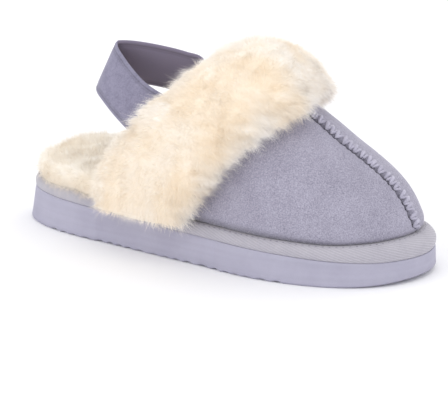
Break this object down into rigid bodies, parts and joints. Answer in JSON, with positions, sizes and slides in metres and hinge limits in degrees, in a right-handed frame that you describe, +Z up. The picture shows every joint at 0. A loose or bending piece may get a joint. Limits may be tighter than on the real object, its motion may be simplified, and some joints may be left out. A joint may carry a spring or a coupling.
{
  "type": "slipper",
  "caption": "Slip-on slipper with a foam wedge sole, closed suede toe with a raised centre seam, deep pile cuff and footbed, and an elastic back strap.",
  "frame": {"origin": "on the floor, under the middle of the slipper's length and width", "axes": "+X towards the toe, +Y to the inner side of the foot, +Z up; the sole stands on Z = 0"},
  "size_m": [0.215, 0.0892, 0.1023],
  "materials": {
    "sole_foam": "matt lavender-grey moulded foam",
    "wrap_tape": "pale lavender-grey twill tape",
    "suede": "lavender-grey imitation suede with a short nap",
    "pile": "deep cream pile in soft clumps",
    "elastic": "dusky lavender woven elastic"
  },
  "bodies": {
    "root": {"outsole": "sole_foam", "platform_wrap": "wrap_tape", "upper": "suede", "cuff": "pile", "insole": "pile", "back_strap": "elastic"}
  },
  "joints": []
}
